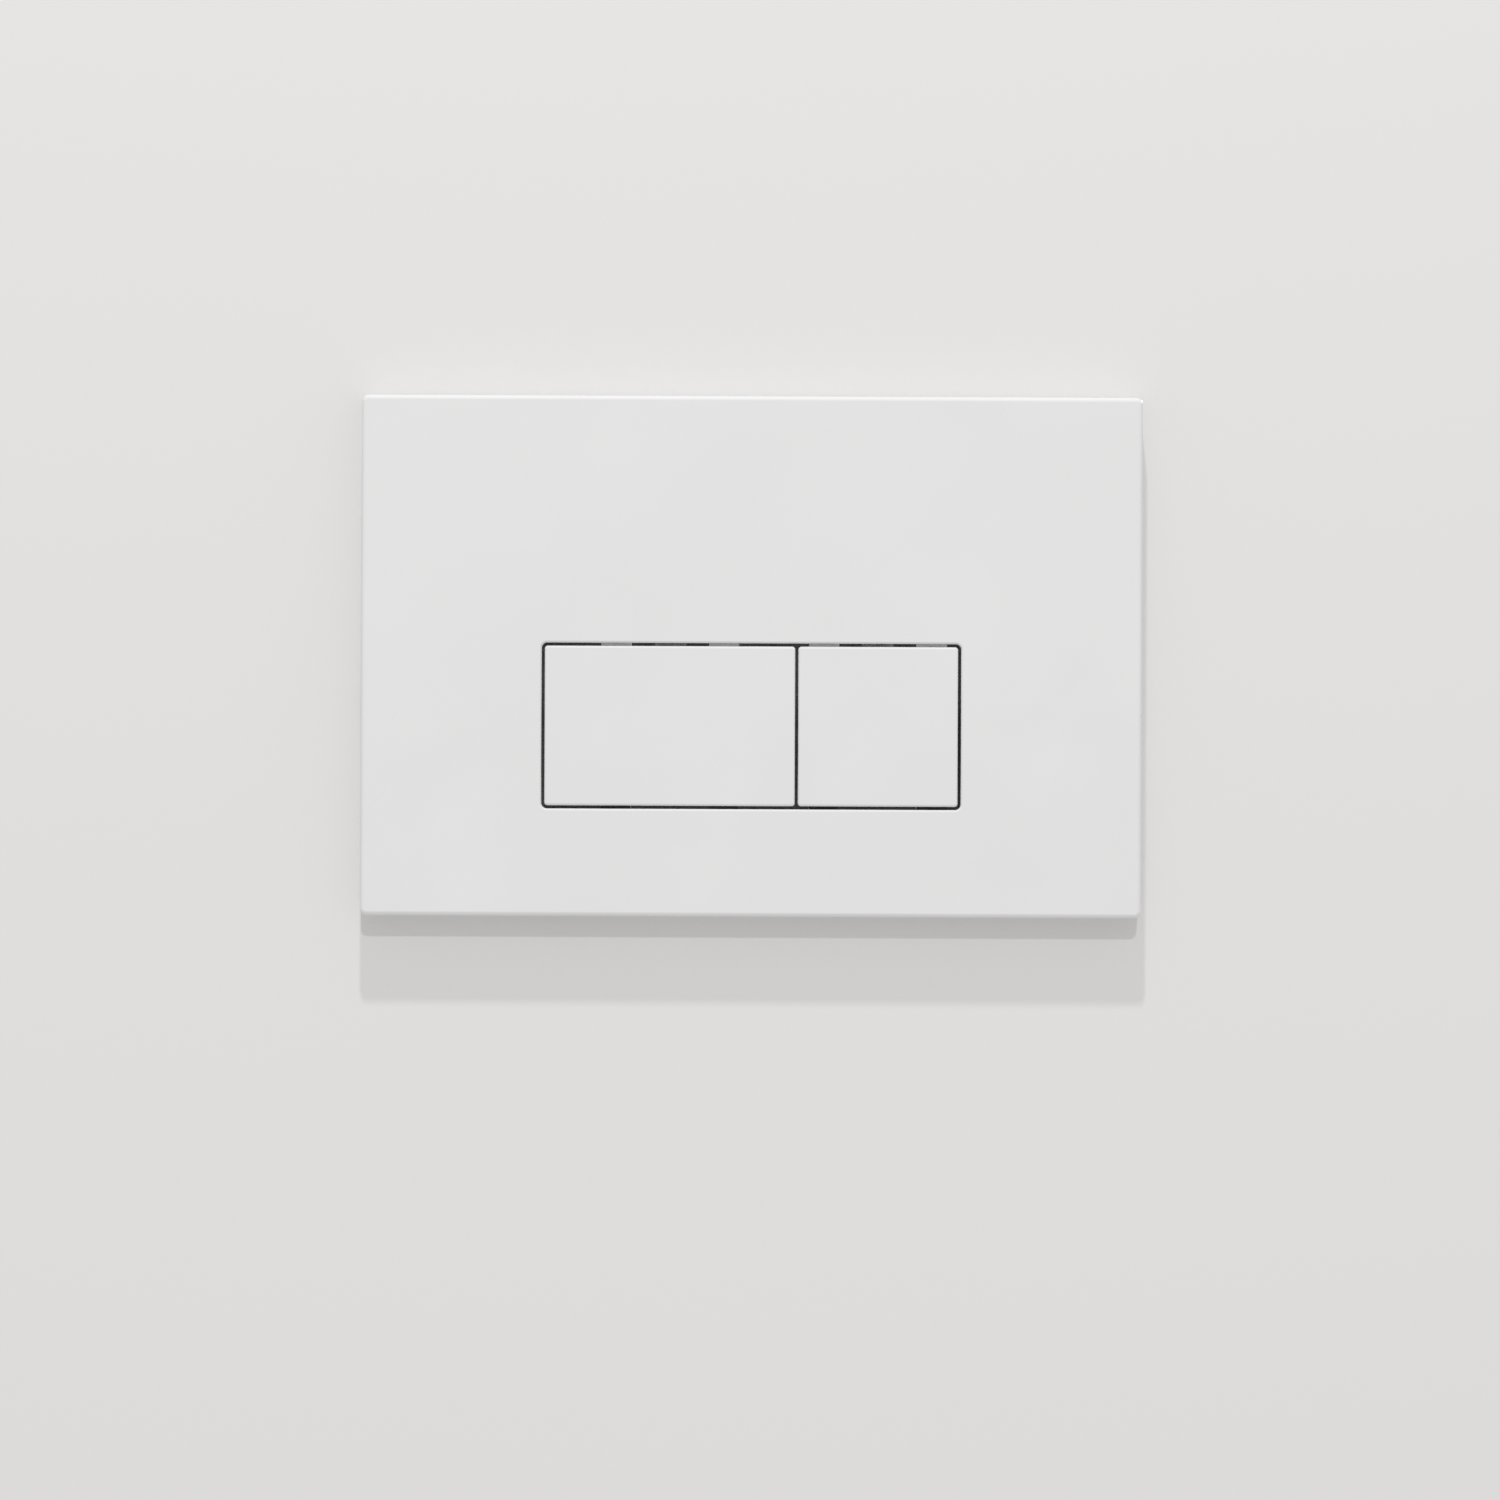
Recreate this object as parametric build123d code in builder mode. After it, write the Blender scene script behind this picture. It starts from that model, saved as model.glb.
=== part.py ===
from build123d import *
import math
import os

# Dual flush button plate for a concealed cistern, in millimetres.
# X runs to the right as seen from the front, Y runs into the wall, and Z runs up.
# The origin is the centre of the plate on the finished wall, so the front face is at Y = -plate_depth.

# Front plate
plate_width = 246.0
plate_height = 164.0
plate_depth = 12.0
plate_wall = 2.5
plate_corner_radius = 2.0
plate_edge_radius = 1.5
plate_wall_gap = 0.5
cavity_corner_radius = 1.0
plate_rib_height = 2.0
plate_rib_thickness = 1.5
plate_rib_spacing = 24.0
plate_rib_window_offset = 4.0

# Buttons and their window
large_button_width = 78.9
small_button_width = 50.3
button_height = 50.3
button_depth = 7.0
button_wall = 2.0
button_corner_radius = 1.0
button_edge_radius = 0.8
button_gap = 1.0
button_rib_height = 3.5
button_rib_thickness = 1.8
window_drop = 22.0
window_corner_radius = 1.8
window_edge_bevel = 0.5

# Hinge along the top of each button
pin_diameter = 3.0
eye_wall = 1.8
lug_width = 9.5
lug_spacing = 34.0
ear_thickness = 3.0
ear_bevel = 2.0
press_angle = 8.0

# Stops along the bottom of each button
tab_reach = 3.0
tab_thickness = 2.0
buffer_thickness = 1.2

# Pusher on the back of each button, and the push rod that it meets
rod_drop = 33.0
rod_diameter = 7.0
rod_length = 58.0
pusher_width = 9.0
pusher_thickness = 8.0
pusher_reach = 3.0
cap_pad_width = 14.0
cap_pad_thickness = 2.0
cap_pad_bevel = 0.6
cap_collar_width = 10.5
cap_collar_length = 6.0
cap_travel_margin = 1.0

# Return spring strips
spring_width = 10.0
spring_thickness = 0.4
spring_pad_drop = 16.0
spring_pad_height = 6.0
spring_tip_length = 3.0
spring_tip_lift = 1.2
spring_clip_length = 5.0
spring_clip_radius = 0.5
spring_bend_radius = 2.0

# Button carrier
carrier_wall = 2.5
carrier_bar = 10.0
carrier_corner_radius = 4.0
carrier_side_room = 2.0
carrier_post_height = 5.0
carrier_post_width = 12.0
carrier_post_thickness = 3.0
carrier_post_spacing = 62.0
hook_thickness = 2.0
hook_barb = 1.2
hook_barb_height = 1.6

# Mounting frame
frame_wall = 2.5
frame_corner_radius = 1.5
frame_rim_thickness = 2.0
frame_rim_setback = 2.5
frame_land_height = 0.5
frame_land_width = 12.0
frame_rib_thickness = 1.6
frame_rib_setback = 1.0
frame_rib_count = 4
frame_rib_spacing = 44.0
frame_side_rib_spacing = 90.0
opening_corner_radius = 3.0

# Snap nubs inside the skirt, which catch in windows of the frame's rim
nub_width = 16.0
nub_depth = 1.8
nub_flat = 0.5
nub_margin = 1.2
nub_row_spacing = 80.0
nub_column_spacing = 76.0
nub_side_room = 0.5

# Fixing bolts and their nuts
bolt_spacing = 190.0
bolt_diameter = 9.0
bolt_length = 60.0
stud_diameter = 7.0
collar_width = 15.0
collar_thickness = 3.0
slot_length = 16.0
slot_width = 8.0
nut_width = 19.0

# Bridge that guides the push rods
bridge_wall = 2.5
bridge_height = 24.0
bridge_foot_length = 13.0
bridge_foot_inset = 1.5
bridge_lip_depth = 5.0
bridge_lip_thickness = 2.0
bridge_bend_radius = 2.0
prong_width = 12.0
prong_thickness = 2.0
prong_barb = 0.9
prong_barb_height = 1.8
guide_diameter = 13.0
guide_length = 12.0

# Clearances
frame_clearance = 0.5
catch_clearance = 0.25
moving_clearance = 0.3
swing_clearance = 0.8
running_clearance = 0.05
seat_clearance = 0.02
thread_clearance = 0.05
guide_clearance = 0.1
snap_clearance = 0.1
end_clearance = 0.8

# Depths, from the front to the back
front_y = -plate_depth
inner_y = front_y + plate_wall
button_back_y = front_y + button_depth
eye_radius = pin_diameter / 2 + eye_wall
hinge_y = inner_y + moving_clearance + eye_radius
tab_front_y = inner_y + buffer_thickness
carrier_front_y = inner_y + carrier_post_height
carrier_back_y = carrier_front_y + carrier_wall
rim_front_y = inner_y + frame_rim_setback
frame_back_y = -frame_land_height
frame_front_y = frame_back_y - frame_wall
catch_y = (rim_front_y + frame_front_y) / 2
catch_height = frame_front_y - rim_front_y - 2 * nub_margin
nub_height = catch_height - 2 * catch_clearance
pusher_tip_y = button_back_y + pusher_reach
cap_front_y = pusher_tip_y + moving_clearance
cap_pad_back_y = cap_front_y + cap_pad_thickness
cap_back_y = cap_pad_back_y + cap_collar_length
rod_stroke = rod_drop * math.radians(press_angle)
bridge_front_y = cap_back_y + rod_stroke + cap_travel_margin
bridge_back_y = bridge_front_y + bridge_wall
rod_back_y = cap_pad_back_y + rod_length
collar_back_y = frame_back_y + collar_thickness
bolt_back_y = collar_back_y + bolt_length
stud_front_y = inner_y + end_clearance
nut_front_y = stud_front_y + end_clearance

# Places across and up the plate
window_width = large_button_width + small_button_width + 3 * button_gap
window_height = button_height + 2 * button_gap
window_z = -window_drop
window_top_z = window_z + window_height / 2
window_bottom_z = window_z - window_height / 2
button_top_z = window_top_z - button_gap
button_bottom_z = window_bottom_z + button_gap
large_button_x = -window_width / 2 + button_gap + large_button_width / 2
small_button_x = window_width / 2 - button_gap - small_button_width / 2
hinge_z = window_top_z + eye_radius
tab_bottom_z = window_bottom_z - tab_reach
rod_z = hinge_z - rod_drop
pad_z = hinge_z - spring_pad_drop

# The carrier's ring leaves room for the buttons, their lugs and their stops
ring_opening_width = window_width + 2 * carrier_side_room
ring_top_z = hinge_z + eye_radius + swing_clearance
ring_bottom_z = tab_bottom_z - swing_clearance
ring_opening_height = ring_top_z - ring_bottom_z
ring_z = (ring_top_z + ring_bottom_z) / 2
ring_width = ring_opening_width + 2 * carrier_bar
ring_height = ring_opening_height + 2 * carrier_bar
ring_bar_height = ring_opening_height + carrier_bar

# The frame fits inside the skirt, and its opening clears the carrier
cavity_width = plate_width - 2 * plate_wall
cavity_height = plate_height - 2 * plate_wall
frame_width = cavity_width - 2 * frame_clearance
frame_height = cavity_height - 2 * frame_clearance
opening_width = ring_width + 2 * swing_clearance
hook_reach = snap_clearance + hook_thickness
opening_height = 2 * (ring_height / 2 - ring_z + hook_reach + swing_clearance)
bridge_foot_x = opening_width / 2 + bridge_foot_inset + bridge_foot_length / 2
bridge_leg_x = opening_width / 2 - bridge_wall


def upright(y):
    """Plane at depth y with X to the right and Z up, which extrudes towards the front."""
    return Plane.XZ.offset(-y)


def across(x):
    """Plane at x with Y to the right and Z up, which extrudes along X."""
    return Plane.YZ.offset(x)


def edge_plane(origin, towards):
    """Plane square to an edge, whose x points towards a side and whose y points into the wall."""
    return Plane(origin, x_dir=towards, z_dir=Vector(towards).cross(Vector(0, 1, 0)))


def lug_centres(button_x):
    """The two places along a button where its lugs and its stop tabs stand."""
    return [button_x - lug_spacing / 2, button_x + lug_spacing / 2]


# Planes on the inside of the skirt at the snap nubs, and along the carrier's edges at the hooks
nub_planes = []
hook_planes = []
for side in (-1, 1):
    for step in (-1, 0, 1):
        nub_origin = (step * nub_row_spacing, catch_y, side * cavity_height / 2)
        nub_planes.append(edge_plane(nub_origin, (0, 0, -side)))
        hook_z = ring_z + side * (ring_height / 2 + snap_clearance)
        hook_planes.append(edge_plane((step * carrier_post_spacing, 0, hook_z), (0, 0, -side)))
    for end in (-1, 1):
        nub_origin = (side * cavity_width / 2, catch_y, end * nub_column_spacing / 2)
        nub_planes.append(edge_plane(nub_origin, (-side, 0, 0)))

rod_points = [(large_button_x, rod_z), (small_button_x, rod_z)]
pieces = []


def keep(piece, label):
    """Name a finished piece and put it on the list of pieces to write."""
    piece.part.label = label
    pieces.append(piece.part)


# Front plate: a shallow moulded tray with the button window, ribs, carrier hooks and snap nubs
with BuildPart() as front_plate:
    with BuildSketch(upright(-plate_wall_gap)):
        RectangleRounded(plate_width, plate_height, plate_corner_radius)
    extrude(amount=plate_depth - plate_wall_gap)
    fillet(front_plate.faces().sort_by(Axis.Y)[0].edges(), plate_edge_radius)
    with BuildSketch(upright(-plate_wall_gap)):
        RectangleRounded(cavity_width, cavity_height, cavity_corner_radius)
    extrude(amount=plate_depth - plate_wall_gap - plate_wall, mode=Mode.SUBTRACT)
    with BuildSketch(upright(inner_y)):
        with Locations((0, window_z)):
            RectangleRounded(window_width, window_height, window_corner_radius)
    extrude(amount=plate_wall, mode=Mode.SUBTRACT)
    front_face = front_plate.faces().sort_by(Axis.Y)[0]
    chamfer(front_face.inner_wires()[0].edges(), window_edge_bevel)

    # Ribs behind the front wall: a pair beside the window and rows above the carrier
    rib_x = window_width / 2 + plate_rib_window_offset
    upper_rib_z = ring_z + ring_height / 2 + plate_rib_spacing / 2
    with BuildSketch(upright(inner_y + plate_rib_height)):
        with GridLocations(2 * rib_x, 0, 2, 1):
            Rectangle(plate_rib_thickness, cavity_height)
        with Locations((0, upper_rib_z), (0, upper_rib_z + plate_rib_spacing)):
            Rectangle(2 * rib_x, plate_rib_thickness)
    extrude(amount=plate_rib_height)

    # Posts that the carrier sits on, and the hooks that hold it there
    with BuildSketch(upright(carrier_front_y)):
        with Locations((0, ring_z)):
            with GridLocations(carrier_post_spacing, ring_bar_height, 3, 2):
                Rectangle(carrier_post_width, carrier_post_thickness)
    extrude(amount=carrier_post_height)
    hook_catch_y = carrier_back_y + snap_clearance
    hook_tip_y = hook_catch_y + hook_barb_height
    for hook_plane in hook_planes:
        with BuildSketch(hook_plane):
            with BuildLine():
                Polyline(
                    (0, inner_y),
                    (0, hook_catch_y),
                    (snap_clearance + hook_barb, hook_catch_y),
                    (0, hook_tip_y),
                    (-hook_thickness, hook_tip_y),
                    (-hook_thickness, inner_y),
                    close=True,
                )
            make_face()
        extrude(amount=carrier_post_width / 2, both=True)

    # Snap nubs: square towards the front, with a ramp at the back to ride over the frame's rim
    for nub_plane in nub_planes:
        with BuildSketch(nub_plane):
            with BuildLine():
                Polyline(
                    (0, -nub_height / 2),
                    (nub_depth, -nub_height / 2),
                    (nub_depth, nub_flat - nub_height / 2),
                    (0, nub_height / 2),
                    close=True,
                )
            make_face()
        extrude(amount=nub_width / 2, both=True)
keep(front_plate, "front_plate")


def build_button(label, width, button_x):
    """A hollow cap with ribs, two hinge lugs, two stop tabs, a spring pad and a pusher."""
    with BuildPart() as button:
        with BuildSketch(upright(button_back_y)):
            with Locations((button_x, window_z)):
                RectangleRounded(width, button_height, button_corner_radius)
        extrude(amount=button_depth)
        fillet(button.faces().sort_by(Axis.Y)[0].edges(), button_edge_radius)
        with BuildSketch(upright(button_back_y)):
            with Locations((button_x, window_z)):
                Rectangle(width - 2 * button_wall, button_height - 2 * button_wall)
        extrude(amount=button_depth - button_wall, mode=Mode.SUBTRACT)

        # Ribs in line with the lugs and one across at the pusher, and the pad for the spring strip
        button_inner_y = front_y + button_wall
        with BuildSketch(upright(button_inner_y + button_rib_height)):
            with Locations((button_x, window_z)):
                with GridLocations(lug_spacing, 0, 2, 1):
                    Rectangle(button_rib_thickness, button_height - button_wall)
            with Locations((button_x, rod_z)):
                Rectangle(width - button_wall, button_rib_thickness)
        extrude(amount=button_rib_height)
        with BuildSketch(upright(button_back_y)):
            with Locations((button_x, pad_z)):
                Rectangle(spring_width, spring_pad_height)
        extrude(amount=button_depth - button_wall)

        # Pusher with a round nose, so that it rolls on the flat rod cap as the button swings
        nose_y = pusher_tip_y - pusher_thickness / 2
        with BuildSketch(across(button_x)):
            with Locations((nose_y, rod_z)):
                Circle(pusher_thickness / 2)
                Rectangle(nose_y - button_inner_y, pusher_thickness, align=(Align.MAX, Align.CENTER))
        extrude(amount=pusher_width / 2, both=True)

        # Hinge lugs along the top and stop tabs along the bottom
        for lug_x in lug_centres(button_x):
            with BuildSketch(across(lug_x)):
                with Locations((hinge_y, hinge_z)):
                    Circle(eye_radius)
                with Locations((hinge_y - eye_radius, hinge_z)):
                    Rectangle(
                        button_back_y - hinge_y + eye_radius,
                        hinge_z - button_top_z + button_wall / 2,
                        align=(Align.MIN, Align.MAX),
                    )
                with Locations((hinge_y, hinge_z)):
                    Circle(pin_diameter / 2 + running_clearance, mode=Mode.SUBTRACT)
                with Locations((tab_front_y, tab_bottom_z)):
                    Rectangle(
                        tab_thickness,
                        button_bottom_z - tab_bottom_z + button_wall / 2,
                        align=(Align.MIN, Align.MIN),
                    )
            extrude(amount=lug_width / 2, both=True)
    keep(button, label)


def build_buffers(label, button_x):
    """Two rubber pads along a button's stop tabs, which meet the back of the plate's front wall."""
    with BuildPart() as buffers:
        with BuildSketch(upright(tab_front_y)):
            for lug_x in lug_centres(button_x):
                with Locations((lug_x, tab_bottom_z)):
                    Rectangle(lug_width, tab_reach + button_gap, align=(Align.CENTER, Align.MIN))
        extrude(amount=buffer_thickness)
    keep(buffers, label)


def build_hinge_pin(label, button_x):
    """A steel pin through both lugs of a button and the ears outside them."""
    pin_length = lug_spacing + lug_width + 2 * (moving_clearance + ear_thickness)
    with BuildPart() as hinge_pin:
        with BuildSketch(across(button_x)):
            with Locations((hinge_y, hinge_z)):
                Circle(pin_diameter / 2)
        extrude(amount=pin_length / 2, both=True)
    keep(hinge_pin, label)


def build_return_spring(label, button_x):
    """A steel strip, clipped over the carrier's top bar, that leans on the pad behind a button."""
    contact_y = button_back_y + moving_clearance
    clip_z = ring_top_z + carrier_bar + spring_clip_radius
    with BuildPart() as return_spring:
        with BuildSketch(across(button_x)):
            with BuildLine():
                FilletPolyline(
                    (carrier_front_y, clip_z - spring_clip_length),
                    (carrier_front_y, clip_z),
                    (carrier_back_y, clip_z),
                    (carrier_back_y, ring_top_z),
                    (contact_y, pad_z),
                    (contact_y + spring_tip_lift, pad_z - spring_tip_length),
                    radius=[
                        spring_clip_radius,
                        spring_clip_radius,
                        spring_bend_radius,
                        spring_bend_radius,
                    ],
                )
                offset(amount=spring_thickness, side=Side.LEFT)
            make_face()
        extrude(amount=spring_width / 2, both=True)
    keep(return_spring, label)


# Button carrier: a ring behind the window with ears for the hinge pins along its top bar
with BuildPart() as button_carrier:
    with BuildSketch(upright(carrier_back_y)):
        with Locations((0, ring_z)):
            RectangleRounded(ring_width, ring_height, carrier_corner_radius)
            Rectangle(ring_opening_width, ring_opening_height, mode=Mode.SUBTRACT)
    extrude(amount=carrier_wall)
    ear_offset = (lug_spacing + lug_width + ear_thickness) / 2 + moving_clearance
    ear_root = (carrier_bar - carrier_post_thickness) / 2 - moving_clearance
    for button_x in (large_button_x, small_button_x):
        for ear_x in (button_x - ear_offset, button_x + ear_offset):
            with BuildSketch(across(ear_x)) as ear_profile:
                with Locations((carrier_back_y, hinge_z - eye_radius)):
                    Rectangle(
                        carrier_back_y - hinge_y + eye_radius,
                        ring_top_z - hinge_z + eye_radius + ear_root,
                        align=(Align.MAX, Align.MIN),
                    )
                chamfer(ear_profile.vertices().group_by(Axis.Y)[0], ear_bevel)
                with Locations((hinge_y, hinge_z)):
                    Circle(pin_diameter / 2 + seat_clearance, mode=Mode.SUBTRACT)
            extrude(amount=ear_thickness / 2, both=True)
keep(button_carrier, "button_carrier")

# Mounting frame: a ribbed ring that rests on the wall and carries the plate and the bridge
with BuildPart() as mounting_frame:
    with BuildSketch(upright(frame_back_y)):
        RectangleRounded(frame_width, frame_height, frame_corner_radius)
        RectangleRounded(opening_width, opening_height, opening_corner_radius, mode=Mode.SUBTRACT)
    extrude(amount=frame_wall)
    # Land round the edge that lies on the wall
    with BuildSketch(upright(0)):
        RectangleRounded(frame_width, frame_height, frame_corner_radius)
        Rectangle(
            frame_width - 2 * frame_land_width,
            frame_height - 2 * frame_land_width,
            mode=Mode.SUBTRACT,
        )
    extrude(amount=frame_land_height)
    # Outer rim inside the skirt
    with BuildSketch(upright(frame_front_y)):
        RectangleRounded(frame_width, frame_height, frame_corner_radius)
        Rectangle(
            frame_width - 2 * frame_rim_thickness,
            frame_height - 2 * frame_rim_thickness,
            mode=Mode.SUBTRACT,
        )
    extrude(amount=frame_front_y - rim_front_y)
    # Lower rim round the opening, and ribs that tie the two rims together
    with BuildSketch(upright(frame_front_y)):
        RectangleRounded(
            opening_width + 2 * frame_rim_thickness,
            opening_height + 2 * frame_rim_thickness,
            opening_corner_radius,
        )
        with GridLocations(frame_rib_spacing, 0, frame_rib_count, 1):
            Rectangle(frame_rib_thickness, frame_height - frame_rim_thickness)
        with GridLocations(0, frame_side_rib_spacing, 1, 2):
            Rectangle(frame_width - frame_rim_thickness, frame_rib_thickness)
        RectangleRounded(opening_width, opening_height, opening_corner_radius, mode=Mode.SUBTRACT)
    extrude(amount=frame_front_y - rim_front_y - frame_rib_setback)
    # Windows in the outer rim that the plate's snap nubs catch in
    for nub_plane in nub_planes:
        with BuildSketch(nub_plane):
            Rectangle(
                frame_clearance + frame_rim_thickness + nub_depth,
                catch_height,
                align=(Align.MIN, Align.CENTER),
            )
        extrude(amount=nub_width / 2 + nub_side_room, both=True, mode=Mode.SUBTRACT)
    # Slots for the fixing bolts and for the bridge's prongs
    with BuildSketch(upright(frame_back_y)):
        with GridLocations(bolt_spacing, 0, 2, 1):
            SlotOverall(slot_length, slot_width)
        with Locations((0, rod_z)):
            with GridLocations(2 * bridge_foot_x - prong_barb, 0, 2, 1):
                Rectangle(
                    prong_thickness + prong_barb + 2 * snap_clearance,
                    prong_width + 2 * snap_clearance,
                )
    extrude(amount=frame_wall, mode=Mode.SUBTRACT)
keep(mounting_frame, "mounting_frame")

# Rod bridge: a bent bracket across the frame's opening with a guide tube for each push rod
with BuildPart() as rod_bridge:
    foot_end_x = bridge_foot_x + bridge_foot_length / 2
    with BuildSketch(Plane.XY.offset(rod_z)):
        with BuildLine():
            FilletPolyline(
                (-foot_end_x, frame_back_y),
                (-bridge_leg_x, frame_back_y),
                (-bridge_leg_x, bridge_front_y),
                (bridge_leg_x, bridge_front_y),
                (bridge_leg_x, frame_back_y),
                (foot_end_x, frame_back_y),
                radius=bridge_bend_radius,
            )
            offset(amount=bridge_wall, side=Side.LEFT)
        make_face()
    extrude(amount=bridge_height / 2, both=True)
    # Lips along both long edges of the bar
    with BuildSketch(upright(bridge_back_y + bridge_lip_depth)):
        with Locations((0, rod_z)):
            with GridLocations(0, bridge_height - bridge_lip_thickness, 1, 2):
                Rectangle(2 * (bridge_leg_x - bridge_bend_radius), bridge_lip_thickness)
    extrude(amount=bridge_lip_depth)
    # Guide tubes and their bores
    with BuildSketch(upright(bridge_back_y + guide_length)):
        with Locations(*rod_points):
            Circle(guide_diameter / 2)
    extrude(amount=guide_length)
    with BuildSketch(upright(bridge_back_y + guide_length)):
        with Locations(*rod_points):
            Circle(rod_diameter / 2 + guide_clearance)
    extrude(amount=guide_length + bridge_wall, mode=Mode.SUBTRACT)
    # Prongs that snap through the frame
    prong_catch_y = frame_front_y - snap_clearance
    prong_tip_y = prong_catch_y - prong_barb_height
    for side in (-1, 1):
        with BuildSketch(edge_plane((side * bridge_foot_x, 0, rod_z), (side, 0, 0))):
            with BuildLine():
                Polyline(
                    (-prong_thickness / 2, frame_back_y),
                    (prong_thickness / 2, frame_back_y),
                    (prong_thickness / 2, prong_catch_y),
                    (prong_thickness / 2 + snap_clearance + prong_barb, prong_catch_y),
                    (prong_thickness / 2, prong_tip_y),
                    (-prong_thickness / 2, prong_tip_y),
                    close=True,
                )
            make_face()
        extrude(amount=prong_width / 2, both=True)
keep(rod_bridge, "rod_bridge")


def build_push_rod(label, rod_x):
    """A straight rod, screwed into its cap at the front and free at the back."""
    with BuildPart() as push_rod:
        with BuildSketch(upright(rod_back_y)):
            with Locations((rod_x, rod_z)):
                Circle(rod_diameter / 2)
        extrude(amount=rod_length)
    keep(push_rod, label)


def build_rod_cap(label, rod_x):
    """A square pad with a six-sided collar, screwed onto the front of a push rod."""
    with BuildPart() as rod_cap:
        with BuildSketch(upright(cap_pad_back_y)):
            with Locations((rod_x, rod_z)):
                Rectangle(cap_pad_width, cap_pad_width)
        extrude(amount=cap_pad_thickness)
        chamfer(rod_cap.edges().group_by(Axis.Y)[0], cap_pad_bevel)
        with BuildSketch(upright(cap_back_y)):
            with Locations((rod_x, rod_z)):
                RegularPolygon(cap_collar_width / 2, 6, major_radius=False)
                Circle(rod_diameter / 2 + thread_clearance, mode=Mode.SUBTRACT)
        extrude(amount=cap_collar_length)
    keep(rod_cap, label)


def build_fixing_bolt(label, bolt_x):
    """A threaded bolt with a six-sided collar behind the frame and a stud for the nut in front."""
    with BuildPart() as fixing_bolt:
        with BuildSketch(upright(bolt_back_y)):
            with Locations((bolt_x, 0)):
                Circle(bolt_diameter / 2)
        extrude(amount=bolt_length)
        with BuildSketch(upright(collar_back_y)):
            with Locations((bolt_x, 0)):
                RegularPolygon(collar_width / 2, 6, major_radius=False)
        extrude(amount=collar_thickness)
        with BuildSketch(upright(frame_back_y)):
            with Locations((bolt_x, 0)):
                Circle(stud_diameter / 2)
        extrude(amount=frame_back_y - stud_front_y)
    keep(fixing_bolt, label)


def build_fixing_nut(label, bolt_x):
    """A six-sided nut that clamps the frame to a fixing bolt."""
    with BuildPart() as fixing_nut:
        with BuildSketch(upright(frame_front_y)):
            with Locations((bolt_x, 0)):
                RegularPolygon(nut_width / 2, 6, major_radius=False)
                Circle(stud_diameter / 2 + thread_clearance, mode=Mode.SUBTRACT)
        extrude(amount=frame_front_y - nut_front_y)
    keep(fixing_nut, label)


for size, width, button_x in (
    ("large", large_button_width, large_button_x),
    ("small", small_button_width, small_button_x),
):
    build_button(f"{size}_button", width, button_x)
    build_buffers(f"{size}_button_buffers", button_x)
    build_hinge_pin(f"{size}_hinge_pin", button_x)
    build_return_spring(f"{size}_return_spring", button_x)
    build_push_rod(f"{size}_push_rod", button_x)
    build_rod_cap(f"{size}_rod_cap", button_x)

for hand, bolt_x in (("left", -bolt_spacing / 2), ("right", bolt_spacing / 2)):
    build_fixing_bolt(f"{hand}_fixing_bolt", bolt_x)
    build_fixing_nut(f"{hand}_fixing_nut", bolt_x)

os.makedirs("parts", exist_ok=True)
for piece in pieces:
    export_step(piece, f"parts/{piece.label}.step")
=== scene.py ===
"""Looks of a dual flush button plate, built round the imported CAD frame. Lengths are in metres."""

import functools
import logging
import math
from dataclasses import dataclass
from enum import Enum

import bmesh
import bpy
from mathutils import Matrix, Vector


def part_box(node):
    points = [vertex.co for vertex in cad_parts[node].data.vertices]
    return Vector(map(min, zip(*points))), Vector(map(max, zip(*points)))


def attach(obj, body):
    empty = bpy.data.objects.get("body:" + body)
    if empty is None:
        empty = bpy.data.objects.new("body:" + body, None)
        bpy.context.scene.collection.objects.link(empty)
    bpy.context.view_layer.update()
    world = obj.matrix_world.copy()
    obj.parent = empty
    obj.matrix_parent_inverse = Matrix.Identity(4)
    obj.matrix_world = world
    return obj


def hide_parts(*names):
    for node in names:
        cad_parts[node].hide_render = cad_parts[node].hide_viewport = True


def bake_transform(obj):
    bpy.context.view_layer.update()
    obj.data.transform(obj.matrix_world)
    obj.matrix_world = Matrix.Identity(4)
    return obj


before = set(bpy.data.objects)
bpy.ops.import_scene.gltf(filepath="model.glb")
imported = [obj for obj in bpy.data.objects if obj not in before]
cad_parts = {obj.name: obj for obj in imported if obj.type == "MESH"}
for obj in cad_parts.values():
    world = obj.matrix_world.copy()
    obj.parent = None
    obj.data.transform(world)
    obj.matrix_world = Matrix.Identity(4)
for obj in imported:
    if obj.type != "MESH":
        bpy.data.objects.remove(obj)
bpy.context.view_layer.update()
LOG = logging.getLogger("flush_plate")
FLAT_FACE_WEIGHT = 80
Colour = tuple[float, float, float]
Point = tuple[float, float, float]
Mesh = bpy.types.Mesh
Socket = bpy.types.NodeSocket


class Body(Enum):
    """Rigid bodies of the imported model."""

    FIXED = "fixed"
    LARGE_BUTTON = "large_button"
    SMALL_BUTTON = "small_button"
    LARGE_ROD = "large_rod"
    SMALL_ROD = "small_rod"


class ButtonSize(Enum):
    """The two buttons and the rods behind them."""

    LARGE = "large"
    SMALL = "small"


class Hand(Enum):
    """The two wall fixings, as seen from the front."""

    LEFT = "left"
    RIGHT = "right"


class Crease(Enum):
    """Angles in degrees from which an edge stays sharp, by the kind of piece."""

    SHELL = 55.0
    PIN = 50.0
    STRIP = 40.0
    THREAD = 30.0


class Axis(Enum):
    """Axes of the row frame."""

    X = 0
    Y = 1
    Z = 2

    def stretch(self, share: float) -> Point:
        """Return a scale that is small along this axis, so that a noise runs along it."""
        return tuple(share if step == self.value else 1.0 for step in range(3))

    def across(self, radius: float, turn: float) -> Vector:
        """Return a step square to this axis.

        Args:
            radius: Length of the step.
            turn: Its angle round the axis, in radians.

        Returns:
            The step.
        """
        parts = [radius * math.cos(turn), radius * math.sin(turn)]
        parts.insert(self.value, 0.0)
        return Vector(parts)


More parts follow.
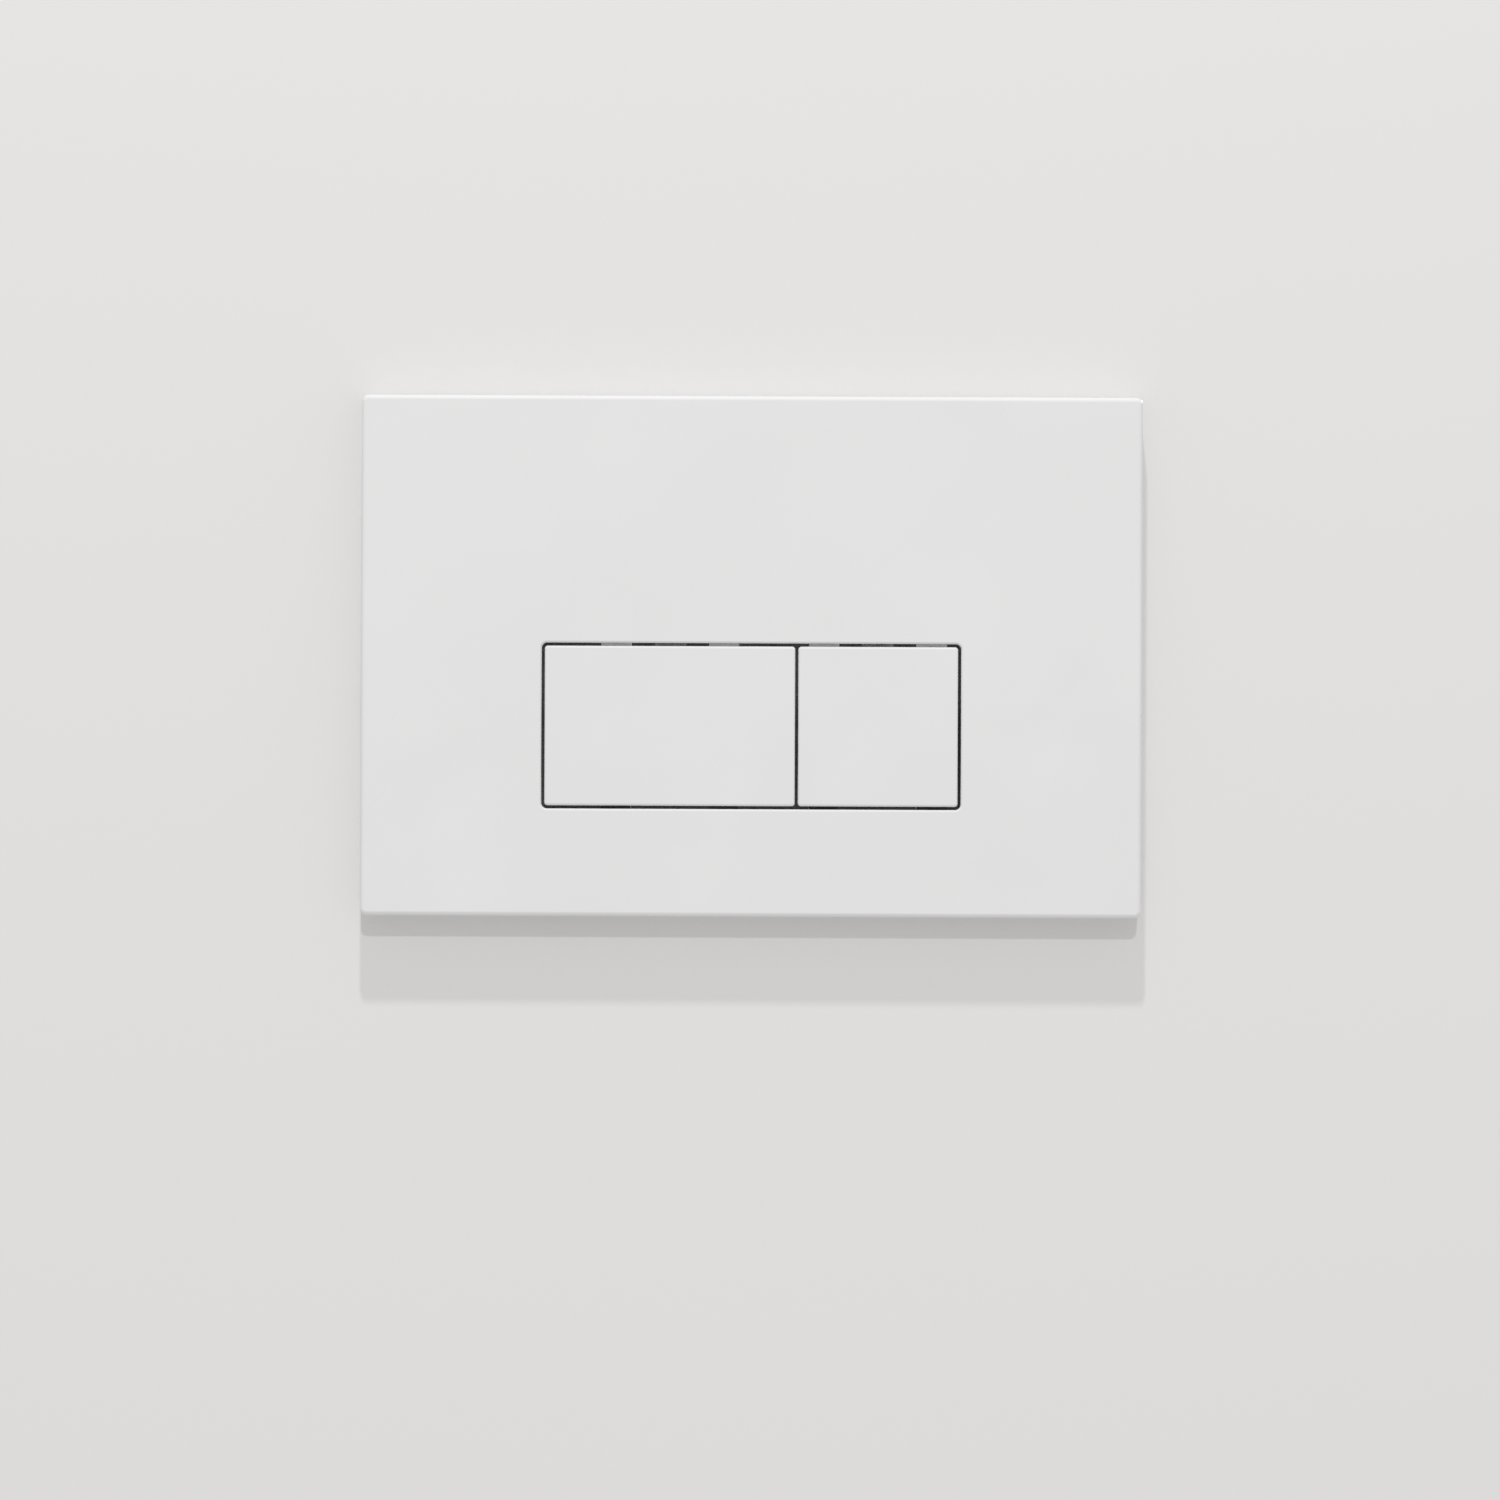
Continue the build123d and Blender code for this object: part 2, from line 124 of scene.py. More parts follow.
@dataclass(frozen=True)
class Grain:
    """Settings of one procedural noise."""

    scale: float
    detail: float = 2.0
    roughness: float = 0.5
    swirl: float = 0.0


class Wiring:
    """Adds nodes to one node tree and joins their sockets."""

    noise_low = 0.3
    noise_high = 0.7

    def __init__(self, tree: bpy.types.NodeTree) -> None:
        """Keep the tree that the nodes go into."""
        self.tree = tree

    def add(
        self, kind: str, inputs: dict[str | int, object] | None = None, **settings: object
    ) -> bpy.types.Node:
        """Add a node, set it up and fill its sockets.

        Args:
            kind: Blender's name of the node type.
            inputs: Values or output sockets, by the name or number of the input socket.
            **settings: Values of the node's own properties.

        Returns:
            The new node.
        """
        node = self.tree.nodes.new(kind)
        for key, value in settings.items():
            setattr(node, key, value)
        for key, value in (inputs or {}).items():
            if isinstance(value, Socket):
                self.tree.links.new(value, node.inputs[key])
            else:
                node.inputs[key].default_value = value
        return node

    def feed(self, shader: bpy.types.Node, sources: dict[str, Socket]) -> None:
        """Link sockets to a shader's inputs, by the inputs' names."""
        for name, source in sources.items():
            self.tree.links.new(source, shader.inputs[name])

    def math(self, operation: str, *values: float | Socket) -> Socket:
        """Add a maths node and return its result."""
        inputs = dict(enumerate(values))
        return self.add("ShaderNodeMath", inputs, operation=operation).outputs[0]

    def noise(self, grain: Grain, place: Socket) -> Socket:
        """Add a noise.

        Args:
            grain: The noise's settings.
            place: The coordinates that it is read at.

        Returns:
            The noise's value.
        """
        inputs = {
            "Vector": place,
            "Scale": grain.scale,
            "Detail": grain.detail,
            "Roughness": grain.roughness,
            "Distortion": grain.swirl,
        }
        return self.add("ShaderNodeTexNoise", inputs).outputs["Fac"]

    def ramp(self, value: Socket, low: Colour, high: Colour) -> Socket:
        """Add a two-colour ramp over the middle of a noise.

        Args:
            value: The noise's value.
            low: Colour at the low end.
            high: Colour at the high end.

        Returns:
            The ramp's colour.
        """
        node = self.add("ShaderNodeValToRGB", {"Fac": value})
        ends = ((self.noise_low, low), (self.noise_high, high))
        for element, (place, colour) in zip(node.color_ramp.elements, ends):
            element.position = place
            element.color = (*colour, 1.0)
        return node.outputs["Color"]

    def spread(self, value: Socket, low: float, high: float) -> Socket:
        """Map the middle of a noise onto a range.

        Args:
            value: The noise's value.
            low: Start of the range.
            high: End of the range.

        Returns:
            The mapped value.
        """
        inputs = {
            "Value": value,
            "From Min": self.noise_low,
            "From Max": self.noise_high,
            "To Min": low,
            "To Max": high,
        }
        return self.add("ShaderNodeMapRange", inputs).outputs["Result"]

    def relief(self, height: Socket, distance: float, strength: float) -> Socket:
        """Add a bump and return the normal that it gives."""
        inputs = {"Height": height, "Distance": distance, "Strength": strength}
        return self.add("ShaderNodeBump", inputs).outputs["Normal"]


def shaded(colour: Colour, share: float) -> Colour:
    """Return a colour made lighter or darker by a share of itself."""
    return tuple(min(1.0, part * (1.0 + share)) for part in colour)


class Finish:
    """Base of the finishes: a surface that makes its own material once."""

    name: str

    @functools.cache
    def material(self) -> bpy.types.Material:
        """Make this finish's material at its first use.

        Returns:
            The material.
        """
        material = bpy.data.materials.new(self.name)
        material.use_nodes = True
        wiring = Wiring(material.node_tree)
        self.wire(wiring, material.node_tree.nodes["Principled BSDF"])
        return material

    def wire(self, wiring: Wiring, shader: bpy.types.Node) -> None:
        """Build the surface's nodes round its shader."""
        raise NotImplementedError


class PieceFinish(Finish):
    """Base of the finishes of pieces, which name a material slot of the record."""

    slot: str


@dataclass(frozen=True)
class MouldedPlastic(PieceFinish):
    """Injection-moulded plastic with flow clouds, handling smears and a fine skin."""

    name: str
    slot: str
    colour: Colour
    roughness: float
    skin_scale: float = 3000.0
    skin_relief: float = 0.00003
    cloud: float = 0.04
    smear: float = 0.04
    skin_strength: float = 0.6
    flow: Grain = Grain(22.0, swirl=0.4)
    handling: Grain = Grain(60.0, detail=3.0, swirl=0.3)
    refraction: float = 1.5

    def wire(self, wiring: Wiring, shader: bpy.types.Node) -> None:
        """Build the plastic's nodes.

        Args:
            wiring: Adds nodes to the material's tree.
            shader: The material's Principled shader.
        """
        place = wiring.add("ShaderNodeTexCoord").outputs["Object"]
        clouds = wiring.noise(self.flow, place)
        smears = wiring.noise(self.handling, place)
        skin = wiring.noise(Grain(self.skin_scale), place)
        dark, pale = shaded(self.colour, -self.cloud), shaded(self.colour, self.cloud)
        sleek, dull = self.roughness - self.smear, self.roughness + self.smear
        sources = {
            "Base Color": wiring.ramp(clouds, dark, pale),
            "Roughness": wiring.spread(smears, sleek, dull),
            "Normal": wiring.relief(skin, self.skin_relief, self.skin_strength),
        }
        wiring.feed(shader, sources)
        shader.inputs["IOR"].default_value = self.refraction


@dataclass(frozen=True)
class Steel(PieceFinish):
    """Drawn, rolled or plated steel with marks that run one way and dull patches."""

    name: str
    slot: str
    colour: Colour
    roughness: float
    lay: Axis
    streak_scale: float = 2600.0
    streak_relief: float = 0.000008
    patch: float = 0.12
    streak_detail: float = 3.0
    streak_stretch: float = 0.04
    streak_strength: float = 0.5
    sleeker: float = 0.08
    duller: float = 0.1
    patches: Grain = Grain(180.0, detail=5.0, roughness=0.6, swirl=0.8)

    def wire(self, wiring: Wiring, shader: bpy.types.Node) -> None:
        """Build the steel's nodes.

        Args:
            wiring: Adds nodes to the material's tree.
            shader: The material's Principled shader.
        """
        place = wiring.add("ShaderNodeTexCoord").outputs["Object"]
        stretch = {"Vector": place, "Scale": self.lay.stretch(self.streak_stretch)}
        drawn = wiring.add("ShaderNodeMapping", stretch).outputs["Vector"]
        streaks = wiring.noise(Grain(self.streak_scale, self.streak_detail), drawn)
        patches = wiring.noise(self.patches, place)
        dark, pale = shaded(self.colour, -self.patch), shaded(self.colour, self.patch)
        sleek, dull = self.roughness - self.sleeker, self.roughness + self.duller
        sources = {
            "Base Color": wiring.ramp(patches, dark, pale),
            "Roughness": wiring.spread(streaks, sleek, dull),
            "Normal": wiring.relief(streaks, self.streak_relief, self.streak_strength),
        }
        wiring.feed(shader, sources)
        shader.inputs["Metallic"].default_value = 1.0


@dataclass(frozen=True)
class WallPaint(Finish):
    """Plain pale backdrop, or a dark sheet of painted shade, seen from its front only, so that
    other views pass behind it.
    """

    name: str
    colour: Colour
    mirrored: bool

    def wire(self, wiring: Wiring, shader: bpy.types.Node) -> None:
        """Build the backdrop's nodes.

        Args:
            wiring: Adds nodes to the material's tree.
            shader: The material's Principled shader, which a plain one replaces.
        """
        paint = wiring.add("ShaderNodeBsdfDiffuse", {"Color": (*self.colour, 1.0)})
        clear = wiring.add("ShaderNodeBsdfTransparent")
        path = wiring.add("ShaderNodeLightPath").outputs
        reflected = wiring.math("MULTIPLY", path["Is Glossy Ray"], float(self.mirrored))
        seen = wiring.math("MAXIMUM", path["Is Camera Ray"], reflected)
        behind = wiring.add("ShaderNodeNewGeometry").outputs["Backfacing"]
        shown = wiring.math("MULTIPLY", seen, wiring.math("SUBTRACT", 1.0, behind))
        mixed = wiring.add(
            "ShaderNodeMixShader",
            {0: shown, 1: clear.outputs["BSDF"], 2: paint.outputs["BSDF"]},
        )
        wiring.feed(wiring.tree.nodes["Material Output"], {"Surface": mixed.outputs["Shader"]})
        wiring.tree.nodes.remove(shader)


PLATE_WHITE = MouldedPlastic(
    "gloss_white_cover",
    "plate_white",
    (0.755, 0.753, 0.753),
    0.30,
    skin_scale=2600.0,
    skin_relief=0.00001,
    cloud=0.012,
)
BUTTON_WHITE = MouldedPlastic(
    "gloss_white_button",
    "button_white",
    (0.753, 0.752, 0.754),
    0.28,
    skin_scale=2600.0,
    skin_relief=0.00001,
    cloud=0.012,
)
CARRIER_GREY = MouldedPlastic("pale_grey_carrier", "carrier_plastic", (0.52, 0.53, 0.53), 0.46)
FRAME_GREY = MouldedPlastic(
    "slate_grey_frame", "frame_plastic", (0.23, 0.25, 0.27), 0.52, cloud=0.06
)
BRIDGE_GREY = MouldedPlastic(
    "dark_grey_bridge", "bridge_plastic", (0.12, 0.13, 0.15), 0.50, cloud=0.07
)
ROD_NATURAL = MouldedPlastic("natural_rod", "rod_plastic", (0.66, 0.65, 0.60), 0.40)
CAP_BLUE = MouldedPlastic("blue_cap", "cap_plastic", (0.05, 0.16, 0.36), 0.42, cloud=0.06)
NUT_BLUE = MouldedPlastic("blue_nut", "nut_plastic", (0.045, 0.14, 0.32), 0.45, cloud=0.06)
BUFFER_BLACK = MouldedPlastic(
    "black_buffer_rubber",
    "buffer_rubber",
    (0.025, 0.025, 0.026),
    0.78,
    skin_scale=5200.0,
    skin_relief=0.00006,
    cloud=0.12,
)
PIN_STEEL = Steel("drawn_pin_steel", "pin_steel", (0.62, 0.61, 0.59), 0.26, Axis.X)
SPRING_STEEL = Steel(
    "rolled_spring_steel",
    "spring_steel",
    (0.48, 0.475, 0.46),
    0.34,
    Axis.Z,
    streak_scale=1500.0,
    streak_relief=0.000002,
)
BOLT_ZINC = Steel(
    "zinc_bolt_steel",
    "bolt_steel",
    (0.60, 0.60, 0.57),
    0.32,
    Axis.Y,
    streak_scale=900.0,
    streak_relief=0.00001,
    patch=0.2,
)
WALL_WHITE = WallPaint("wall_white", (0.753, 0.745, 0.731), mirrored=True)
# Painted shade: a dark sheet, seen by the camera only, stands in the wall's opening for the shade
# in the cavity behind the plate.
OPENING_PAINTED_SHADE = WallPaint("opening_painted_shade", (0.09, 0.088, 0.086), mirrored=False)


@dataclass(frozen=True)
class Piece:
    """A piece of the object: its name, surface and body, and the CAD nodes that it stands for."""

    name: str
    finish: PieceFinish
    body: Body
    nodes: tuple[str, ...] = ()

    def place(self, mesh: Mesh) -> bpy.types.Object:
        """Put a finished mesh into the scene as this piece, which rides on its body.

        Args:
            mesh: The piece's mesh, in the row frame.

        Returns:
            The piece's object.
        """
        piece = self.dress(mesh)
        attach(piece, self.body.value)
        return piece

    def place_bent(self, mesh: Mesh) -> bpy.types.Object:
        """Put a mesh into the scene as this piece, on no body, with its placement baked into its
        points.

        Args:
            mesh: The piece's mesh, in the row frame.

        Returns:
            The piece's object.
        """
        piece = self.dress(mesh)
        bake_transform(piece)
        return piece

    def dress(self, mesh: Mesh) -> bpy.types.Object:
        """Give a mesh this piece's surface and name, and report it.

        Args:
            mesh: The piece's mesh.

        Returns:
            The piece's object, which is on no body yet.
        """
        mesh.name = self.name
        mesh.materials.clear()
        mesh.materials.append(self.finish.material())
        piece = bpy.data.objects.new(self.name, mesh)
        bpy.context.scene.collection.objects.link(piece)
        if self.nodes:
            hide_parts(*self.nodes)
        LOG.info("%s: %d faces, body %s", self.name, len(mesh.polygons), self.body.value)
        return piece


def evaluated(mesh: Mesh, kind: str, **settings: object) -> Mesh:
    """Return a mesh as one modifier leaves it.

    Args:
        mesh: The mesh to start from, which is removed.
        kind: Blender's name of the modifier type.
        **settings: Values of the modifier's properties.

    Returns:
        The new mesh.
    """
    holder = bpy.data.objects.new("holder", mesh)
    bpy.context.scene.collection.objects.link(holder)
    modifier = holder.modifiers.new("finish", kind)
    for key, value in settings.items():
        setattr(modifier, key, value)
    depsgraph = bpy.context.evaluated_depsgraph_get()
    result = bpy.data.meshes.new_from_object(holder.evaluated_get(depsgraph))
    bpy.data.objects.remove(holder)
    bpy.data.meshes.remove(mesh)
    return result


def smoothed(mesh: Mesh, crease: Crease) -> Mesh:
    """Return a mesh shaded smooth, with flat faces kept flat and steep edges kept sharp.

    Args:
        mesh: The mesh to shade, which is removed.
        crease: The angle from which an edge stays sharp.

    Returns:
        The shaded mesh.
    """
    mesh.shade_smooth()
    mesh.set_sharp_from_angle(angle=math.radians(crease.value))
    return evaluated(mesh, "WEIGHTED_NORMAL", keep_sharp=True, weight=FLAT_FACE_WEIGHT)


@dataclass(frozen=True)
class MouldEdges:
    """Rounding of a CAD node's sharp edges, as a mould leaves them."""

    width: float
    steps: int = 2
    merge_gap: float = 1e-6
    flat_angle: float = math.radians(1.0)
    sharp_angle: float = math.radians(32.0)

    def shell(self, node: str) -> Mesh:
        """Return a CAD node's shape with its sharp edges rounded.

        Args:
            node: The CAD node's name.

        Returns:
            A closed mesh in the row frame.
        """
        shell = bmesh.new()
        shell.from_mesh(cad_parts[node].data)
        bmesh.ops.remove_doubles(shell, verts=shell.verts, dist=self.merge_gap)
        bmesh.ops.dissolve_limit(
            shell, angle_limit=self.flat_angle, verts=shell.verts, edges=shell.edges
        )
        bmesh.ops.bevel(
            shell,
            geom=[edge for edge in shell.edges if edge.calc_face_angle(0.0) > self.sharp_angle],
            offset=self.width,
            offset_type="OFFSET",
            segments=self.steps,
            profile=0.5,
            affect="EDGES",
            clamp_overlap=False,
            loop_slide=True,
        )
        mesh = bpy.data.meshes.new(node)
        shell.to_mesh(mesh)
        shell.free()
        return smoothed(mesh, Crease.SHELL)


def stacked(loops: list[list[Point]]) -> Mesh:
    """Return a closed mesh skinned over loops of equally many points, with flat ends.

    Args:
        loops: Loops in order, each of which runs the same way round.

    Returns:
        A closed mesh.
    """
    count = len(loops[0])
    points = [point for loop in loops for point in loop]
    faces = [tuple(range(count)), tuple(range(len(points) - count, len(points)))]
    for row in range(len(loops) - 1):
        low, high = row * count, (row + 1) * count
        for step in range(count):
            after = (step + 1) % count
            faces.append((low + step, low + after, high + after, high + step))
    mesh = bpy.data.meshes.new("stacked")
    mesh.from_pydata(points, [], faces)
    solid = bmesh.new()
    solid.from_mesh(mesh)
    bmesh.ops.recalc_face_normals(solid, faces=solid.faces)
    solid.to_mesh(mesh)
    solid.free()
    return mesh


def turned(
    centre: Vector, levels: list[tuple[float, float]], axis: Axis, count: int = 48
) -> Mesh:
    """Return a closed mesh of round, or many-sided, levels along an axis.

    Args:
        centre: A point on the axis.
        levels: Places along the axis and the radius at each.
        axis: The axis.
        count: Points on each level.

    Returns:
        A closed mesh.
    """
    turns = [2.0 * math.pi * step / count for step in range(count)]
    loops = []
    for place, radius in levels:
        middle = centre.copy()
        middle[axis.value] = place
        loops.append([tuple(middle + axis.across(radius, turn)) for turn in turns])
    return stacked(loops)


def united(first: Mesh, second: Mesh) -> Mesh:
    """Return two closed meshes as one, without the faces that lie inside the other.

    Args:
        first: A closed mesh, which is removed.
        second: Another closed mesh that overlaps it, which is removed.

    Returns:
        One closed mesh.
    """
    holder = bpy.data.objects.new("added", second)
    both = evaluated(first, "BOOLEAN", object=holder, operation="UNION", solver="MANIFOLD")
    bpy.data.objects.remove(holder)
    bpy.data.meshes.remove(second)
    return both


def point_mesh(points: list[Point], chain: bool = False) -> Mesh:
    """Return a mesh of loose points, or of a chain of edges through them.

    Args:
        points: The points in order.
        chain: Whether edges join them.

    Returns:
        A mesh without faces.
    """
    edges = [(step, step + 1) for step in range(len(points) - 1)] if chain else []
    mesh = bpy.data.meshes.new("points")
    mesh.from_pydata(points, edges, [])
    return mesh


class ShapeTree:
    """A Geometry Nodes tree with named inputs that ends in realised geometry with a material."""

    def __init__(self, name: str, lengths: tuple[str, ...], places: tuple[str, ...] = ()) -> None:
        """Start a tree.

        Args:
            name: The tree's plain name.
            lengths: Names of the inputs that are lengths.
            places: Names of the inputs that are points.
        """
        self.group = bpy.data.node_groups.new(name, "GeometryNodeTree")
        face = self.group.interface
        kinds = {
            "Geometry": "NodeSocketGeometry",
            **dict.fromkeys(lengths, "NodeSocketFloat"),
            **dict.fromkeys(places, "NodeSocketVector"),
            "Material": "NodeSocketMaterial",
        }
        self.keys = {}
        for title, kind in kinds.items():
            socket = face.new_socket(title, in_out="INPUT", socket_type=kind)
            self.keys[title] = socket.identifier
        face.new_socket("Geometry", in_out="OUTPUT", socket_type="NodeSocketGeometry")
        self.wiring = Wiring(self.group)
        self.given = self.wiring.add("NodeGroupInput").outputs

    def close(self, shape: Socket) -> None:
        """Realise the shape, give it the material and end the tree.

        Args:
            shape: The tree's finished geometry.
        """
        solid = self.wiring.add("GeometryNodeRealizeInstances", {"Geometry": shape})
        dressed = self.wiring.add(
            "GeometryNodeSetMaterial",
            {"Geometry": solid.outputs["Geometry"], "Material": self.given["Material"]},
        )
        self.wiring.add("NodeGroupOutput", {"Geometry": dressed.outputs["Geometry"]})

    def make(self, base: Mesh, finish: Finish, **values: object) -> Mesh:
        """Run the tree on a base mesh.

        Args:
            base: The mesh that goes in, which is removed.
            finish: The surface that the result gets.
            **values: Input values by name, with low lines for spaces.

        Returns:
            The result as a plain mesh.
        """
        holder = bpy.data.objects.new("holder", base)
        modifier = holder.modifiers.new("shape", "NODES")
        modifier.node_group = self.group
        modifier[self.keys["Material"]] = finish.material()
        for key, value in values.items():
            modifier[self.keys[key.replace("_", " ").title()]] = value
        bpy.context.scene.collection.objects.link(holder)
        depsgraph = bpy.context.evaluated_depsgraph_get()
        result = bpy.data.meshes.new_from_object(holder.evaluated_get(depsgraph))
        holder.modifiers.remove(modifier)
        bpy.data.objects.remove(holder)
        bpy.data.meshes.remove(base)
        return result


class ThreadTree(ShapeTree):
    """A screw thread's ridge round a bar along Y, which runs out at both ends."""

    steps_per_turn = 40
    sunk_share = 0.2
    root_share = 0.92
    crest_share = 0.2
    run_out_turns = 0.8
    run_out_scale = 0.15

    def __init__(self) -> None:
        """Build the tree: a ridge follows a helix and is united with the bar that comes in."""
        super().__init__("screw_thread", ("Core Radius", "Depth", "Pitch", "Length"), ("Start",))
        wiring, given = self.wiring, self.given
        turns = wiring.math("DIVIDE", given["Length"], given["Pitch"])
        sunk = wiring.math("MULTIPLY", given["Depth"], self.sunk_share)
        thread = wiring.add(
            "GeometryNodeCurveToMesh",
            {
                "Curve": self.helix(turns, sunk),
                "Profile Curve": self.section(sunk),
                "Scale": self.run_out(turns),
                "Fill Caps": True,
            },
        )
        seated = wiring.add(
            "GeometryNodeTransform",
            {
                "Geometry": thread.outputs["Mesh"],
                "Translation": given["Start"],
                "Rotation": (-math.pi / 2.0, 0.0, 0.0),
            },
        )
        both = wiring.add(
            "GeometryNodeMeshBoolean",
            {"Mesh": seated.outputs["Geometry"]},
            operation="UNION",
            solver="MANIFOLD",
        )
        wiring.feed(both, {"Mesh": given["Geometry"]})
        self.close(both.outputs["Mesh"])

    def helix(self, turns: Socket, sunk: Socket) -> Socket:
        """Add the path of the ridge's root, a little inside the bar.

        Args:
            turns: How many turns the thread has.
            sunk: How far the root lies inside the bar.

        Returns:
            The path.
        """
        radius = self.wiring.math("SUBTRACT", self.given["Core Radius"], sunk)
        path = self.wiring.add(
            "GeometryNodeCurveSpiral",
            {
                "Resolution": self.steps_per_turn,
                "Rotations": turns,
                "Start Radius": radius,
                "End Radius": radius,
                "Height": self.given["Length"],
            },
        )
        upright = self.wiring.add(
            "GeometryNodeSetCurveNormal", {"Curve": path.outputs["Curve"]}, mode="Z_UP"
        )
        return upright.outputs["Curve"]

    def section(self, sunk: Socket) -> Socket:
        """Add the ridge's section, with its root on the path.

        Args:
            sunk: How far the root lies inside the bar.

        Returns:
            The section's outline.
        """
        wiring, given = self.wiring, self.given
        height = wiring.math("ADD", given["Depth"], sunk)
        ridge = wiring.add(
            "GeometryNodeCurvePrimitiveQuadrilateral",
            {
                "Height": height,
                "Bottom Width": wiring.math("MULTIPLY", given["Pitch"], self.root_share),
                "Top Width": wiring.math("MULTIPLY", given["Pitch"], self.crest_share),
                "Offset": 0.0,
            },
            mode="TRAPEZOID",
        )
        lift = wiring.add("ShaderNodeCombineXYZ", {"X": wiring.math("MULTIPLY", height, -0.5)})
        placed = wiring.add(
            "GeometryNodeTransform",
            {
                "Geometry": ridge.outputs["Curve"],
                "Translation": lift.outputs["Vector"],
                "Rotation": (0.0, 0.0, math.pi / 2.0),
            },
        )
        return placed.outputs["Geometry"]

    def run_out(self, turns: Socket) -> Socket:
        """Add the size of the section along the path, which falls off towards both ends.

        Args:
            turns: How many turns the thread has.

        Returns:
            The size, from a small share at the ends to 1.
        """
        along = self.wiring.add("GeometryNodeSplineParameter").outputs["Factor"]
        rest = self.wiring.math("SUBTRACT", 1.0, along)
        nearest = self.wiring.math("MINIMUM", along, rest)
        size = self.wiring.add(
            "ShaderNodeMapRange",
            {
                "Value": self.wiring.math("MULTIPLY", nearest, turns),
                "From Max": self.run_out_turns,
                "To Min": self.run_out_scale,
            },
        )
        return size.outputs["Result"]


class StripTree(ShapeTree):
    """A flat strip bent along the corners of a path."""

    steps_per_bend = 8

    def __init__(self) -> None:
        """Build the tree: the path's corners are rounded and a flat section follows it."""
        super().__init__("bent_strip", ("Width", "Thickness", "Bend Radius", "Step"))
        wiring, given = self.wiring, self.given
        path = wiring.add("GeometryNodeMeshToCurve", {"Mesh": given["Geometry"]})
        bent = wiring.add(
            "GeometryNodeFilletCurve",
            {
                "Curve": path.outputs["Curve"],
                "Radius": given["Bend Radius"],
                "Count": self.steps_per_bend,
            },
            mode="POLY",
        )
        even = wiring.add(
            "GeometryNodeResampleCurve",
            {"Curve": bent.outputs["Curve"], "Length": given["Step"]},
            mode="LENGTH",
        )
        section = wiring.add(
            "GeometryNodeCurvePrimitiveQuadrilateral",
            {"Width": given["Width"], "Height": given["Thickness"]},
        )
        strip = wiring.add(
            "GeometryNodeCurveToMesh",
            {
                "Curve": even.outputs["Curve"],
                "Profile Curve": section.outputs["Curve"],
                "Fill Caps": True,
            },
        )
        self.close(strip.outputs["Mesh"])


class MarkTree(ShapeTree):
    """Round witness marks of a mould's ejector pins on a face square to Y."""

    ring_steps = 36
    section_steps = 6

    def __init__(self) -> None:
        """Build the tree: a fine ring stands at each point of the base mesh."""
        super().__init__("ejector_marks", ("Radius", "Relief"))
        wiring, given = self.wiring, self.given
        path = wiring.add(
            "GeometryNodeCurvePrimitiveCircle",
            {"Resolution": self.ring_steps, "Radius": given["Radius"]},
        )
        section = wiring.add(
            "GeometryNodeCurvePrimitiveCircle",
            {"Resolution": self.section_steps, "Radius": given["Relief"]},
        )
        ring = wiring.add(
            "GeometryNodeCurveToMesh",
            {"Curve": path.outputs["Curve"], "Profile Curve": section.outputs["Curve"]},
        )
        marks = wiring.add(
            "GeometryNodeInstanceOnPoints",
            {
                "Points": given["Geometry"],
                "Instance": ring.outputs["Mesh"],
                "Rotation": (math.pi / 2.0, 0.0, 0.0),
            },
        )
        self.close(marks.outputs["Instances"])


@dataclass
class EjectorMarks:
    """Ejector marks on one face of a moulded piece."""

    piece: Piece
    tree: MarkTree
    depth: float
    places: list[tuple[float, float]]
    radius: float = 0.0022
    relief: float = 0.00009

    def build(self) -> None:
        """Make the marks."""
        base = point_mesh([(x, self.depth, z) for x, z in self.places])
        mesh = self.tree.make(base, self.piece.finish, radius=self.radius, relief=self.relief)
        mesh.shade_smooth()
        self.piece.place(mesh)


@dataclass
class CoverPlate:
    """The white cover with its window, skirt, ribs, posts and hooks."""

    marks: MarkTree
    edges: MouldEdges = MouldEdges(0.00016, 3)
    front_wall: float = 0.0025
    mark_rise: float = 0.024
    mark_columns: tuple[float, ...] = (-0.054, -0.018, 0.018, 0.054)

    def build(self) -> None:
        """Make the cover and the marks behind its front wall, above the carrier."""
        mesh = self.edges.shell("front_plate")
        Piece("cover_plate", PLATE_WHITE, Body.FIXED, ("front_plate",)).place(mesh)
        inner_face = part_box("front_plate")[0].y + self.front_wall
        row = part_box("button_carrier")[1].z + self.mark_rise
        places = [(x, row) for x in self.mark_columns]
        piece = Piece("cover_marks", PLATE_WHITE, Body.FIXED)
        EjectorMarks(piece, self.marks, inner_face, places).build()


